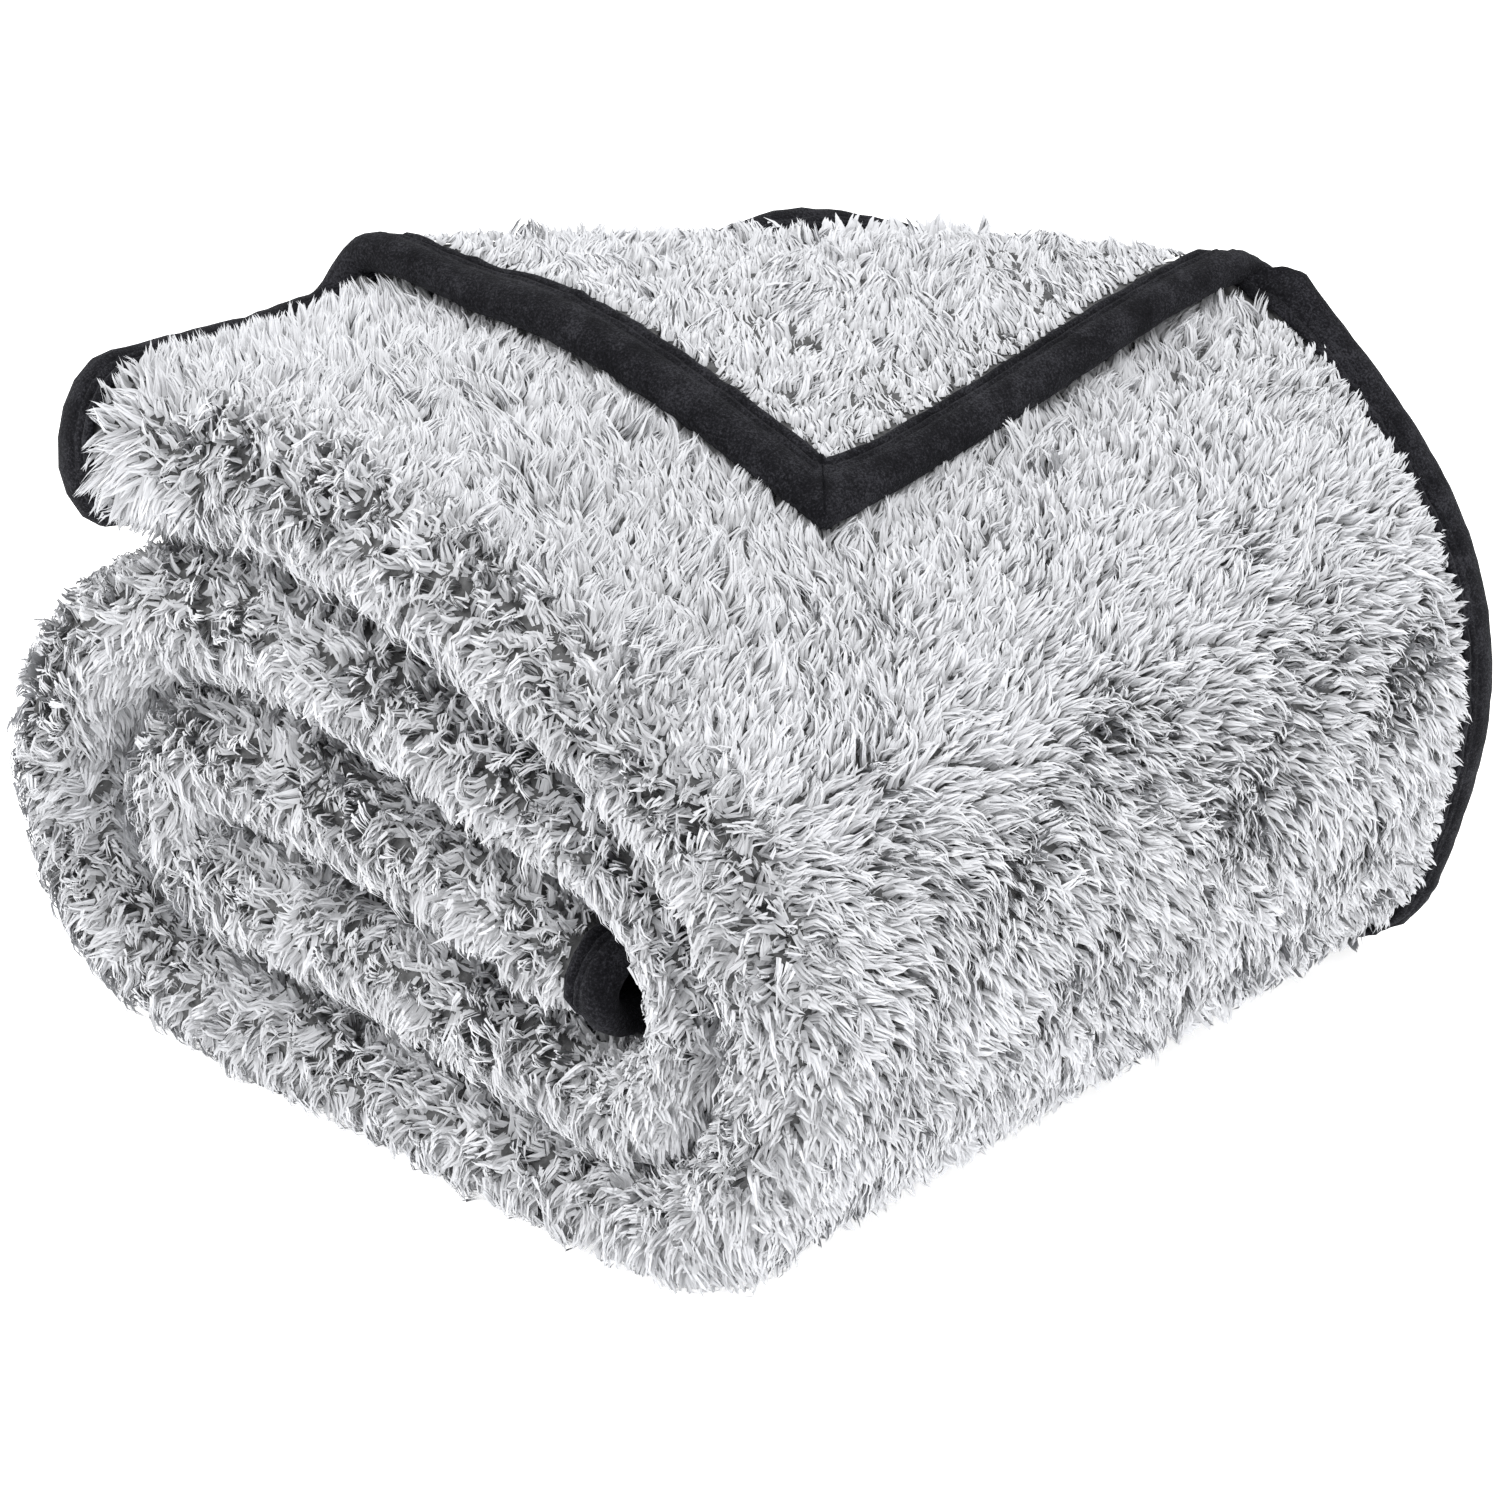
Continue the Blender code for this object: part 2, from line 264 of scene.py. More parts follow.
def wind_along(s, height, skew):
    """The wound strip's runs and turns: x and z, its top run moved along X by its skew.

    A run keeps its height over its own level, and a turn carries it round the turn's centre. Past the
    left turn the top run's slack end sags by the square of its distance.
    """
    puff = 1 + PUFF * (1 - smooth((s - RUN_ENDS[0]) / (math.pi * TURN_RADII[0])))
    past_left = np.clip((TOP_END_BACK - s - skew) / TOP_END_BACK, 0, 1)
    drop = END_DROP * past_left ** 2
    plump = (drop + END_PLUMP * smooth(past_left * 1.5)) / (3 * PITCH)
    height = (height + 1.5 * PITCH) * (puff + plump) - 1.5 * PITCH - drop
    x, z = np.zeros_like(s), np.zeros_like(s)
    for i, level in enumerate(RUN_LEVELS):
        way = 1 if i % 2 == 0 else -1
        end_x = X_RIGHT if way > 0 else X_LEFT
        if i == len(RUN_LEVELS) - 1:
            end_x += INNER_END_PAST + INNER_END_SHOWS
        on_run = s >= (RUN_STARTS[i] if i else -1)
        x = np.where(on_run, end_x + way * (s - RUN_ENDS[i]), x)
        z = np.where(on_run, level * PITCH + way * height, z)
        if i < len(TURN_RADII):
            angle = (s - RUN_ENDS[i]) / TURN_RADII[i]
            arm = TURN_RADII[i] - PITCH + height
            on_turn = s > RUN_ENDS[i]
            x = np.where(on_turn, end_x + way * arm * np.sin(angle), x)
            z = np.where(on_turn, TURN_CENTRES[i] + way * arm * np.cos(angle), z)
    return x + skew - END_OUT * past_left ** 2, z


def belly(z, centre):
    """How much further out the lower half of a sagging turn reaches at height z than a round one."""
    return 1 + BELLY_LOW * np.clip(1 - z / centre, 0, 1) ** 4


def settle(x, y, z, on_top):
    """The soft stack settles: full turns, and a top that rises to the back left and sinks to the right.

    Heights are scaled by one share for each place seen from above, to which every swell adds a bell.
    """
    along = smooth((x - X_LEFT) / (X_RIGHT + TURN_RADII[0] - X_LEFT))
    back = smooth((y - Y_NEAR) / SPAN_Y)
    share = 1 - SETTLE_RIGHT * along - SETTLE_NEAR * (1 - back) - SETTLE_CORNER * along * (1 - back)
    share += RISE_BACK * (1 - along) ** 2 * back
    for (swell_x, swell_y), reach, extra in SWELLS:
        share += extra * np.exp(-((x - swell_x) ** 2 + (y - swell_y) ** 2) / reach ** 2)
    right = RIGHT_STRETCH * belly(z, TURN_CENTRES[0])
    left = LEFT_STRETCH * belly(z, TURN_CENTRES[1])
    x = np.where(x > X_RIGHT, X_RIGHT + (x - X_RIGHT) * right, x)
    x = np.where((x < X_LEFT) & ~on_top, X_LEFT + (x - X_LEFT) * left, x)
    y = y - SPREAD_NEAR * (1 - back) * smooth(1 - z / SPREAD_HEIGHT)
    return x, y, np.maximum(z * share - BASE_CUT, 0)


def fold(flat):
    """The folded places of flat points, whose columns are s, t and n."""
    s, t, n = flat.T
    y, height = fold_across(t, n)
    ear_s, ear_t, ear_height, turned, lift = turn_corner(s, t, n)
    turned &= t < T_NOSE
    s = np.where(turned, ear_s, s)
    y = np.where(turned, Y_NEAR + T_NOSE - ear_t, y)
    height = np.where(turned, ear_height, height) + np.where(t < T_NOSE, lift, 0)
    on_top = s < RUN_ENDS[0]
    skew = BACK_SKEW * smooth((y - Y_FAR + EAR_LEG) / EAR_LEG) * smooth(1 - s / RUN_ENDS[0])
    x, z = wind_along(s, height, np.where((t > T_NOSE) & on_top, skew, 0))
    return np.stack(settle(x, y, z, on_top), axis=1)


def unit(vectors):
    """The same directions with length one."""
    return vectors / np.maximum(np.linalg.norm(vectors, axis=-1, keepdims=True), 1e-12)


def folded(s, t, n):
    """fold() for arrays of s, t and n of one shape."""
    s, t, n = np.broadcast_arrays(s, t, n)
    return fold(np.stack([s.ravel(), t.ravel(), n.ravel()], 1).astype(float)).reshape(s.shape + (3,))


def waves(points, length, seed):
    """Soft random vectors in space: for each axis, the mean of five sine waves about one length long."""
    draw = np.random.default_rng(seed)
    total = np.zeros(points.shape)
    for _ in range(5):
        ways = unit(draw.normal(size=(3, 3))) * draw.uniform(0.7, 1.5, (3, 1))
        total += np.sin(points @ ways.T * (2 * math.pi / length) + draw.uniform(0, 2 * math.pi, 3))
    return total / 5 ** 0.5


def add_mesh(name, points, faces, finish, maps=None, normals=None):
    """One object at the origin from arrays: points, lists of equal-sided faces, and UV pairs per point."""
    mesh = bpy.data.meshes.new(name)
    corners = np.concatenate([group.ravel() for group in faces]).astype(np.int32)
    totals = np.concatenate([np.full(len(group), group.shape[1]) for group in faces]).astype(np.int32)
    starts = np.concatenate([[0], np.cumsum(totals)[:-1]]).astype(np.int32)
    mesh.vertices.add(len(points))
    mesh.vertices.foreach_set("co", points.astype(np.float32).ravel())
    mesh.loops.add(len(corners))
    mesh.loops.foreach_set("vertex_index", corners)
    mesh.polygons.add(len(totals))
    mesh.polygons.foreach_set("loop_start", starts)
    mesh.polygons.foreach_set("use_smooth", np.ones(len(totals), bool))
    for map_name, pairs in (maps or {}).items():
        layer = mesh.uv_layers.new(name=map_name)
        layer.uv.foreach_set("vector", pairs[corners].astype(np.float32).ravel())
    mesh.update(calc_edges=True)
    if normals is not None:
        mesh.normals_split_custom_set_from_vertices(normals)
    mesh.materials.append(finish)
    piece = bpy.data.objects.new(name, mesh)
    bpy.context.scene.collection.objects.link(piece)
    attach(piece, "root")
    return piece


# ---------------------------------------------------------------- finishes


def new_material(name):
    """A new material, its tree and its shader."""
    made = bpy.data.materials.new(name)
    made.use_nodes = True
    tree = made.node_tree
    return made, tree, tree.nodes["Principled BSDF"]


def node(tree, kind, **inputs):
    """A node of one kind. An input is named, or numbered as i0, i1 and so on, and is a socket or a value."""
    made = tree.nodes.new(kind)
    for key, value in inputs.items():
        socket = made.inputs[int(key[1:])] if key[0] == "i" and key[1:].isdigit() else made.inputs[key]
        if isinstance(value, bpy.types.NodeSocket):
            tree.links.new(value, socket)
        else:
            socket.default_value = value
    return made


def reckon(tree, operation, *values):
    """The result of one sum on sockets or values."""
    made = node(tree, "ShaderNodeMath", **{f"i{i}": value for i, value in enumerate(values)})
    made.operation = operation
    return made.outputs["Value"]


def ramp(tree, factor, stops):
    """A colour ramp through (place, colour) stops."""
    made = node(tree, "ShaderNodeValToRGB", Fac=factor)
    elements = made.color_ramp.elements
    while len(elements) < len(stops):
        elements.new(0.5)
    for element, (place, colour) in zip(elements, stops):
        element.position = place
        element.color = (*colour, 1)
    return made.outputs["Color"]


def mix(tree, way, factor, under, over):
    """One colour laid over another."""
    made = node(tree, "ShaderNodeMix", i0=factor)
    made.data_type = "RGBA"
    made.blend_type = way
    tree.links.new(under, made.inputs[6])
    tree.links.new(over, made.inputs[7])
    return made.outputs[2]


def flat_map(tree, name):
    """One UV map: its pairs, and the first and the second value of each pair."""
    made = node(tree, "ShaderNodeUVMap")
    made.uv_map = name
    pairs = made.outputs["UV"]
    split = node(tree, "ShaderNodeSeparateXYZ", Vector=pairs)
    return pairs, split.outputs["X"], split.outputs["Y"]


def grey(value, blue=0.012):
    """A cool grey."""
    return (value, value * (1 + blue / 2), value * (1 + 2 * blue))


def pile_material():
    """Frosted pile: charcoal at the root, silver along the lock, near white at its tip.

    Fine fibres run the length of each ribbon: noise drawn out along it shifts where each fibre turns
    light, and shades and furrows the ribbon across. The second map's x is the tone of the whole lock.
    """
    made, tree, shader = new_material("sherpa_pile")
    place, _, height = flat_map(tree, "flat")
    _, lock_tone, _ = flat_map(tree, "lock")
    drawn_out = node(tree, "ShaderNodeVectorMath", i0=place, i1=(5.0, 0.9, 1.0))
    drawn_out.operation = "MULTIPLY"
    fibres = node(tree, "ShaderNodeTexNoise", Vector=drawn_out.outputs["Vector"], Scale=1.0, Detail=2.0)
    fibres = fibres.outputs["Fac"]
    along = ramp(tree, reckon(tree, "MULTIPLY_ADD", fibres, 0.5, height), [
        (0.22, grey(0.08)), (0.34, grey(0.23)), (0.48, grey(0.45)), (0.72, grey(0.60)), (1.0, grey(0.67)),
    ])
    tone = ramp(tree, lock_tone, [(0.0, grey(0.76)), (0.4, grey(0.92)), (1.0, grey(1.0))])
    tree.links.new(mix(tree, "MULTIPLY", 1.0, along, tone), shader.inputs["Base Color"])
    relief = node(tree, "ShaderNodeBump", Height=fibres, Strength=0.35, Distance=0.0006)
    tree.links.new(relief.outputs["Normal"], shader.inputs["Normal"])
    shader.inputs["Roughness"].default_value = 0.75
    shader.inputs["Sheen Weight"].default_value = 0.15
    shader.inputs["Specular IOR Level"].default_value = 0.2
    return made


def ground_material():
    """The knitted ground under the pile: mottled charcoal, and paler like fleece where its map says so."""
    made, tree, shader = new_material("sherpa_ground")
    where = node(tree, "ShaderNodeTexCoord").outputs["Object"]
    patches = node(tree, "ShaderNodeTexNoise", Vector=where, Scale=260.0, Detail=4.0).outputs["Fac"]
    bare = ramp(tree, patches, [(0.3, grey(0.04)), (0.7, grey(0.12))])
    fleece = ramp(tree, patches, [(0.36, grey(0.06)), (0.47, grey(0.24)), (0.62, grey(0.52))])
    _, cover, _ = flat_map(tree, "cover")
    tree.links.new(mix(tree, "MIX", cover, bare, fleece), shader.inputs["Base Color"])
    relief = node(tree, "ShaderNodeBump", Height=patches, Strength=0.6, Distance=0.002)
    tree.links.new(relief.outputs["Normal"], shader.inputs["Normal"])
    shader.inputs["Roughness"].default_value = 0.95
    return made


def velvet_material():
    """Black velvet: a short nap that catches a little light, brushed unevenly."""
    made, tree, shader = new_material("velvet")
    where = node(tree, "ShaderNodeTexCoord").outputs["Object"]
    brushed = node(tree, "ShaderNodeTexNoise", Vector=where, Scale=70.0, Detail=4.0, Roughness=0.6)
    brushed = brushed.outputs["Fac"]
    nap = node(tree, "ShaderNodeTexNoise", Vector=where, Scale=1000.0, Detail=3.0, Roughness=0.75)
    nap = nap.outputs["Fac"]
    both = reckon(tree, "MULTIPLY_ADD", nap, 0.65, reckon(tree, "MULTIPLY", brushed, 0.35))
    tone = ramp(tree, both, [
        (0.40, (0.002, 0.002, 0.003)), (0.50, (0.007, 0.007, 0.009)), (0.60, (0.028, 0.028, 0.033)),
    ])
    tree.links.new(tone, shader.inputs["Base Color"])
    folds = node(tree, "ShaderNodeBump", Height=brushed, Strength=0.5, Distance=0.003)
    relief = node(tree, "ShaderNodeBump", Height=nap, Strength=0.7, Distance=0.001)
    tree.links.new(folds.outputs["Normal"], relief.inputs["Normal"])
    tree.links.new(relief.outputs["Normal"], shader.inputs["Normal"])
    shader.inputs["Roughness"].default_value = 0.9
    shader.inputs["Specular IOR Level"].default_value = 0.1
    shader.inputs["Sheen Weight"].default_value = 0.04
    shader.inputs["Sheen Roughness"].default_value = 0.35
    shader.inputs["Sheen Tint"].default_value = (0.75, 0.78, 0.85, 1)
    return made


# ---------------------------------------------------------------- cloth and binding


def spread(ends, step):
    """Rising values between neighbouring ends, each stretch cut into even steps of about one size."""
    values = [ends[0]]
    for start, stop in zip(ends, ends[1:]):
        count = max(1, round((stop - start) / step))
        values += [start + (stop - start) * (i + 1) / count for i in range(count)]
    return np.array(values)


def slab_faces(rows, columns):
    """Four-sided faces of a closed slab whose upper points come first, then its lower ones, row by row."""
    i, j = (grid.ravel() for grid in np.meshgrid(np.arange(rows - 1), np.arange(columns - 1), indexing="ij"))
    a = i * columns + j
    upper = np.stack([a, a + 1, a + columns + 1, a + columns], 1)
    lower = upper[:, ::-1] + rows * columns
    ring = np.concatenate([
        np.arange(columns - 1),
        np.arange(rows - 1) * columns + columns - 1,
        (rows - 1) * columns + np.arange(columns - 1, 0, -1),
        np.arange(rows - 1, 0, -1) * columns,
    ])
    after = np.roll(ring, -1)
    side = np.stack([ring, ring + rows * columns, after + rows * columns, after], 1)
    return np.concatenate([upper, lower, side])


def fleece_cover(s, t):
    """How much the ground looks like fleece: fully at the left end and the back, where locks are coarse."""
    left = smooth((s - RUN_ENDS[1] + 0.04) / 0.02) * smooth((RUN_STARTS[2] + 0.06 - s) / 0.02)
    left = left * smooth((T_NOSE - 0.02 - t) / 0.015)
    return np.maximum(left, smooth((t - T_FAR + 0.03) / 0.015))


def ground_cloth(finish):
    """The cloth without its pile: a thin slab over the whole flat cut, taken through fold()."""
    rim = BAND_EDGE + 0.0005
    turn_ends = [mark for pair in zip(RUN_STARTS[1:], RUN_ENDS[1:]) for mark in pair][:-1]
    along = [rim, BAND_WIDTH, CREASE_LEG, RUN_ENDS[0]] + turn_ends + [S_END - BAND_WIDTH, S_END - rim]
    across = [rim, BAND_WIDTH, CREASE_LEG, T_NOSE, T_INNER, T_FAR, T_CENTRE, T_END - BAND_WIDTH, T_END - rim]
    along, across = spread(along, GROUND_STEP_ALONG), spread(across, GROUND_STEP_ACROSS)
    s, t = np.meshgrid(along, across, indexing="ij")
    edge = np.minimum(np.minimum(s, t), np.minimum(S_END - s, T_END - t))
    half = RIM_HALF + (GROUND_HALF - RIM_HALF) * smooth((edge - BAND_WIDTH) / 0.01)
    points = np.concatenate([folded(s, t, half).reshape(-1, 3), folded(s, t, -half).reshape(-1, 3)])
    cover = fleece_cover(s, t)
    maps = {"cover": np.tile(np.stack([cover.ravel(), t.ravel()], 1), (2, 1))}
    return add_mesh("ground_cloth", points, [slab_faces(len(along), len(across))], finish, maps)


def band_profile():
    """The binding's closed section: how far in from the edge, and how proud, round a stuffed U.

    Its inner lip rolls under, and two stitched grooves part the three swells between lip and edge.
    """
    rows = [
        (BAND_WIDTH - 0.0015, 0.0032), (BAND_WIDTH, 0.0048), (BAND_WIDTH - 0.0008, 0.0062),
        (BAND_WIDTH - 0.0026, 0.0067), (BAND_WIDTH - 0.0044, 0.0062), (BAND_WIDTH - 0.0052, 0.0045),
        (BAND_WIDTH - 0.0060, 0.0063), (BAND_WIDTH - 0.0082, 0.0070), (BAND_WIDTH - 0.0096, 0.0061),
        (BAND_WIDTH - 0.0106, 0.0071), (BAND_WIDTH - 0.0140, 0.0077), (BAND_WIDTH - 0.0180, 0.0072),
        (BAND_WIDTH - 0.0210, 0.0058), (BAND_WIDTH - 0.0230, 0.0036), (0.0, 0.0012),
    ]
    outer = np.array(rows)
    lower = outer[::-1] * (1, -1)
    slot = np.array([(BAND_EDGE, -RIM_HALF - 0.0004), (BAND_EDGE, RIM_HALF + 0.0004)])
    return np.concatenate([outer, lower, slot])


def puckers(place, q, seed):
    """Small gathers along the band: uneven waves 12 to 30 mm long, strongest at the inner groove."""
    draw = np.random.default_rng(seed)
    total = np.zeros(np.broadcast(place, q).shape)
    for length in (0.012, 0.018, 0.030):
        gathers = np.sin(2 * math.pi * place / length + draw.uniform(0, 6.3))
        total = total + gathers * np.cos(q * 180 + draw.uniform(0, 6.3))
    near_groove = np.exp(-((q - BAND_WIDTH + 0.006) / 0.006) ** 2)
    return total * (PUCKER + PUCKER_AT_GROOVE * near_groove)


def drawn_narrow(s, t):
    """Shares of its width that the binding loses along the turned corner, from its places on the edges."""
    long_edge = NARROW_LONG_EDGE * smooth(s / 0.05) * (1 - smooth((s - CREASE_LEG + 0.05) / 0.05))
    bound_end = NARROW_END * smooth((t - CREASE_LEG + 0.14) / 0.08)
    bound_end = bound_end - NARROW_END_EASED * smooth((t - CREASE_LEG) / 0.03)
    return np.where(t == 0, long_edge, bound_end * (s == 0) * (t < T_INNER))


def drawn_tight(s, t):
    """Shares by which the binding stands less proud where the crease draws it tight."""
    bound_end = smooth((t - CREASE_LEG + 0.13) / 0.06) * (1 - smooth((t - CREASE_LEG - 0.02) / 0.05))
    long_edge = smooth((s - CREASE_LEG + 0.15) / 0.07) * (1 - smooth((s - CREASE_LEG + 0.05) / 0.04))
    return TIGHT_END * (s == 0) * bound_end + TIGHT_LONG_EDGE * (t == 0) * long_edge


def stations(start, *stretches):
    """Places along an edge between its two ends: each stretch gives where it stops and its step."""
    values = np.array([start])
    for stop, step in stretches:
        values = np.concatenate([values, spread([values[-1], stop], step)[1:]])
    return values[1:-1]


def mitre(corner_s, corner_t):
    """The binding's stands round one corner, from its edge along t to its edge along s.

    A stand is a place on the edge and the way in from it, as s, t, s and t. Towards the corner the way in
    leans over to the diagonal, where the two edges' bindings meet.
    """
    in_s = 1 if corner_s == 0 else -1
    in_t = 1 if corner_t == 0 else -1
    on_t, on_s = [], []
    for share in MITRE_SHARES:
        on_t.append((corner_s, corner_t + in_t * share * BAND_WIDTH, in_s, in_t * (1 - share)))
        on_s.append((corner_s + in_s * share * BAND_WIDTH, corner_t, in_s * (1 - share), in_t))
    return on_t[::-1] + [(corner_s, corner_t, in_s, in_t)] + on_s


def band_stands():
    """The binding's stands in turn round all four edges, closest where the corner's crease bends them."""
    bend_start = CREASE_LEG - math.sqrt(2) * math.pi * EAR_RADIUS
    turned = [(bend_start, STEP_CORNER), (CREASE_LEG + 0.03, STEP_CREASE)]
    s_stop, t_stop = S_END - BAND_WIDTH, T_END - BAND_WIDTH
    s_near = stations(BAND_WIDTH, *turned, (RUN_STARTS[1], STEP_RIGHT), (s_stop, STEP_HIDDEN))
    s_far = stations(BAND_WIDTH, (s_stop, STEP_HIDDEN))
    t_near = stations(BAND_WIDTH, *turned, (t_stop, STEP_END))
    t_far = stations(BAND_WIDTH, (t_stop, STEP_INNER_END))
    stands = mitre(0, 0) + [(s, 0, 0, 1) for s in s_near]
    stands += mitre(S_END, 0)[::-1] + [(S_END, t, -1, 0) for t in t_far]
    stands += mitre(S_END, T_END) + [(s, T_END, 0, -1) for s in s_far[::-1]]
    stands += mitre(0, T_END)[::-1] + [(0, t, 1, 0) for t in t_near[::-1]]
    return np.array(stands, float)


def binding(finish):
    """The velvet binding: its section carried round all four edges, mitred at the corners, then folded.

    A point of the section stands q in from the edge and so far proud of the cloth's middle. Its outer
    side is puckered, with a sunk seam and two slight ridges at each mitre.
    """
    edge_s, edge_t, in_s, in_t = (column[:, None] for column in band_stands().T)
    q, proud = (column[None, :] for column in band_profile().T)
    q = q * (1 - drawn_narrow(edge_s, edge_t))
    on_outer = np.abs(proud) > RIM_HALF + 0.0005
    proud = np.sign(proud) * (BAND_LEAST + (np.abs(proud) - BAND_LEAST) * (1 - drawn_tight(edge_s, edge_t)))
    lift = np.where(on_outer, puckers(edge_s + edge_t, q, 5), 0)
    seam = np.abs(in_s) * np.abs(in_t)
    lift = lift - np.where(on_outer & (seam > 0.999), MITRE_SEAM, 0)
    lift = lift + np.where(on_outer & (np.abs(seam - 0.93) < 0.01), MITRE_RIDGE, 0)
    points = folded(edge_s + q * in_s, edge_t + q * in_t, proud + np.sign(proud) * lift)
    count, size = points.shape[:2]
    k, m = (grid.ravel() for grid in np.meshgrid(np.arange(count), np.arange(size), indexing="ij"))
    after, beside = (k + 1) % count, (m + 1) % size
    faces = np.stack([k * size + m, after * size + m, after * size + beside, k * size + beside], 1)
    return add_mesh("velvet_binding", points.reshape(-1, 3), [faces], finish)


# ---------------------------------------------------------------- pile


# What locks are like where a patch says no other. In metres: a lock's reach, a ribbon's width and the
# distance between clumps. strands is how many ribbons a lock has. The rest are shares: root_width is the
# ribbon's extra width at its root. lean_by is the lean with the nap, against upright. swirls, curl_by and
# hook are how far locks stray, bow and turn down at the tip, and gathered is how far a clump draws them
# in. combed and edging are the lean away from the binding and out over the long edge, and fringe is the
# droop where the cloth faces down. softness is how far a ribbon shades as the cloth does. lighter raises
# a ribbon's tone, shade lowers it on the bulge of the near folds, and dim lowers it everywhere. lighter is
# painted light, set patch by patch for how brightly each face is lit, and dim is painted shade, for the
# folds that the lamps light less.
LOCKS = {
    "reach": 0.0135, "strands": 5, "width": 0.00125, "clump": 0.0085, "root_width": 1.5, "lean_by": 1.0,
    "upright": 0.75, "swirls": 1.0, "curl_by": 0.17, "hook": 0.10, "gathered": 0.62, "combed": 0.6,
    "edging": 0.0, "fringe": 0.0, "softness": 0.6, "lighter": 0.0, "shade": 0.0, "dim": 0.0,
}
# Each patch's own lighter, and the folds' dim, are painted light and painted shade for how its face is lit
TOP_LOCKS = {
    "reach": 0.0140, "strands": 6, "width": 0.0011, "clump": 0.0075, "swirls": 0.7, "curl_by": 0.12,
    "hook": 0.0, "softness": 0.7, "lighter": 0.06,
}
FLAP_LOCKS = {
    "reach": 0.0115, "strands": 6, "width": 0.0011, "clump": 0.0075, "upright": 0.65, "swirls": 0.8,
    "curl_by": 0.13, "hook": 0.05, "softness": 0.7, "lighter": 0.22,
}
RIGHT_LOCKS = {
    "reach": 0.0114, "strands": 6, "width": 0.00118, "clump": 0.0062, "lean_by": 0.8, "upright": 1.1,
    "swirls": 0.7, "hook": 0.15, "combed": 0.0, "edging": 0.7, "softness": 0.65, "lighter": 0.16,
}
UNDER_LOCKS = {"reach": 0.008, "width": 0.0020, "lighter": 0.3}
COARSE_LOCKS = {"width": 0.0024, "clump": 0.011, "root_width": 1.8, "upright": 0.6, "lighter": 0.15}
FOLD_LOCKS = {
    "reach": 0.0108, "strands": 6, "width": 0.00105, "clump": 0.0055, "root_width": 2.4, "lean_by": 0.5,
    "upright": 1.0, "swirls": 1.1, "curl_by": 0.34, "hook": 0.34, "gathered": 0.66, "fringe": 1.0,
    "softness": 0.65, "lighter": 0.42, "shade": 0.14, "dim": 0.4,
}

# A ribbon's rungs, as shares of its length: two points on each of the first three, and its tip
RUNGS = (0.0, 0.32, 0.66, 1.0)
RIBBON_POINTS = 7


def scatter(s_range, t_range, spacing, draw):
    """Flat places on a jittered, staggered grid over a rectangle of the cloth."""
    rows = max(2, round((t_range[1] - t_range[0]) / (spacing * 0.87)))
    columns = max(2, round((s_range[1] - s_range[0]) / spacing))
    i, j = (grid.ravel() for grid in np.meshgrid(np.arange(columns), np.arange(rows), indexing="ij"))
    s = (i + 0.5 * (j % 2) + 0.25 + draw.uniform(-0.38, 0.38, i.size)) / columns
    t = (j + 0.5 + draw.uniform(-0.38, 0.38, i.size)) / rows
    return s_range[0] + s * (s_range[1] - s_range[0]), t_range[0] + t * (t_range[1] - t_range[0])


def clumps(s, t, spacing, draw):
    """The clump each flat place belongs to, nearest on a jittered grid: its s and t, and its own draws."""
    i, j = np.floor(s / spacing).astype(int), np.floor(t / spacing).astype(int)
    low_i, low_j = i.min() - 1, j.min() - 1
    grid = (i.max() - low_i + 2, j.max() - low_j + 2)
    jitter = draw.uniform(0.08, 0.92, grid + (2,))
    drawn = draw.normal(size=grid + (5,))
    best = np.full(s.shape, np.inf)
    centre_s, centre_t, own = np.zeros(s.shape), np.zeros(s.shape), np.zeros(s.shape + (5,))
    for step_i in (-1, 0, 1):
        for step_j in (-1, 0, 1):
            cell = (i + step_i - low_i, j + step_j - low_j)
            cell_s = (i + step_i + jitter[cell][:, 0]) * spacing
            cell_t = (j + step_j + jitter[cell][:, 1]) * spacing
            far = np.hypot(cell_s - s, cell_t - t)
            closer = far < best
            best = np.where(closer, far, best)
            centre_s, centre_t = np.where(closer, cell_s, centre_s), np.where(closer, cell_t, centre_t)
            own = np.where(closer[:, None], drawn[cell], own)
    return centre_s, centre_t, own


def rooted(s, t, face, clump, draw):
    """Where locks stand: their flat places and roots, their clumps' hearts, the way out, and own draws."""
    clump_s, clump_t, own = clumps(s, t, clump, draw)
    depth = np.full(len(s), face * ROOT_DEPTH)
    root = folded(s, t, depth)
    heart = folded(clump_s, clump_t, depth)
    above = folded(clump_s, clump_t, np.full(len(s), face * (ROOT_DEPTH + 0.002)))
    return SimpleNamespace(
        s=s, t=t, face=face, depth=depth, root=root, heart=heart, own=own, out=unit(above - heart),
    )


def nap_down(root, out):
    """The nap: it hangs with its weight, and on top it drifts to the back left of the throw."""
    pull = np.zeros_like(root)
    pull[:, 2] = -1.0
    top = smooth(out[:, 2] * 1.4 - 0.2)[:, None]
    drift = np.array([-0.55, 0.7, 0.0]) * (1 - 0.6 * smooth(out[:, 0:1] * 1.5))
    return unit(pull * (1 - top) + drift * top + 1e-9)


